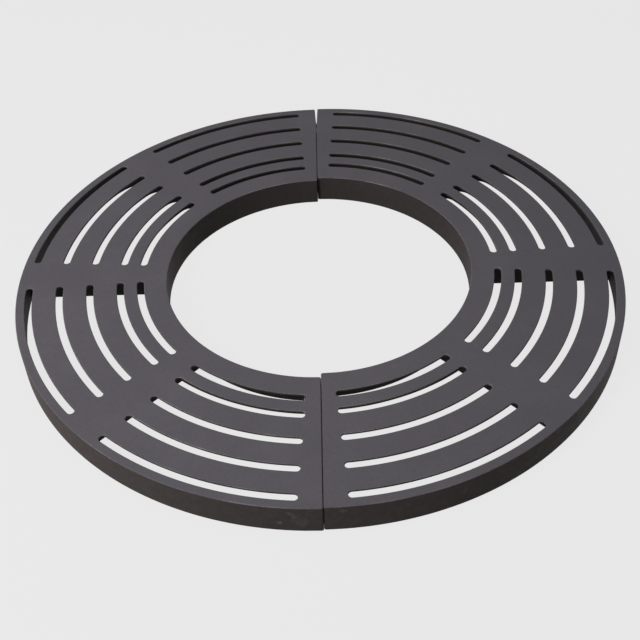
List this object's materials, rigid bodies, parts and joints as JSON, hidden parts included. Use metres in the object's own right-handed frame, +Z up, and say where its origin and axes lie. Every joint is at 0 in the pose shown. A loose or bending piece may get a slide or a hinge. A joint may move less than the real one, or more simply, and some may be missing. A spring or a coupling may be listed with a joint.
{
  "type": "tree grate",
  "caption": "Round slotted tree grate in two half-ring castings with deep skirts and ribs, bolted together under the plate round an open trunk hole.",
  "frame": {"origin": "on the ground, in the middle of the trunk opening", "axes": "+Z up out of the walking face; the joint between the halves runs along Y, with its closer end at -Y; the half with the bolt heads lies at +X"},
  "size_m": [1.2016, 1.2018, 0.059],
  "materials": {
    "cast_iron": "cast iron with a thin dark coating, fine sand-cast grain, matt",
    "zinc_steel": "dull zinc plate"
  },
  "bodies": {
    "root": {"right_half_casting": "cast_iron", "left_half_casting": "cast_iron", "near_inner_bolt": "zinc_steel", "near_inner_head_washer": "zinc_steel", "near_inner_nut_washer": "zinc_steel", "near_inner_nut": "zinc_steel", "near_outer_bolt": "zinc_steel", "near_outer_head_washer": "zinc_steel", "near_outer_nut_washer": "zinc_steel", "near_outer_nut": "zinc_steel", "far_inner_bolt": "zinc_steel", "far_inner_head_washer": "zinc_steel", "far_inner_nut_washer": "zinc_steel", "far_inner_nut": "zinc_steel", "far_outer_bolt": "zinc_steel", "far_outer_head_washer": "zinc_steel", "far_outer_nut_washer": "zinc_steel", "far_outer_nut": "zinc_steel"}
  },
  "joints": []
}
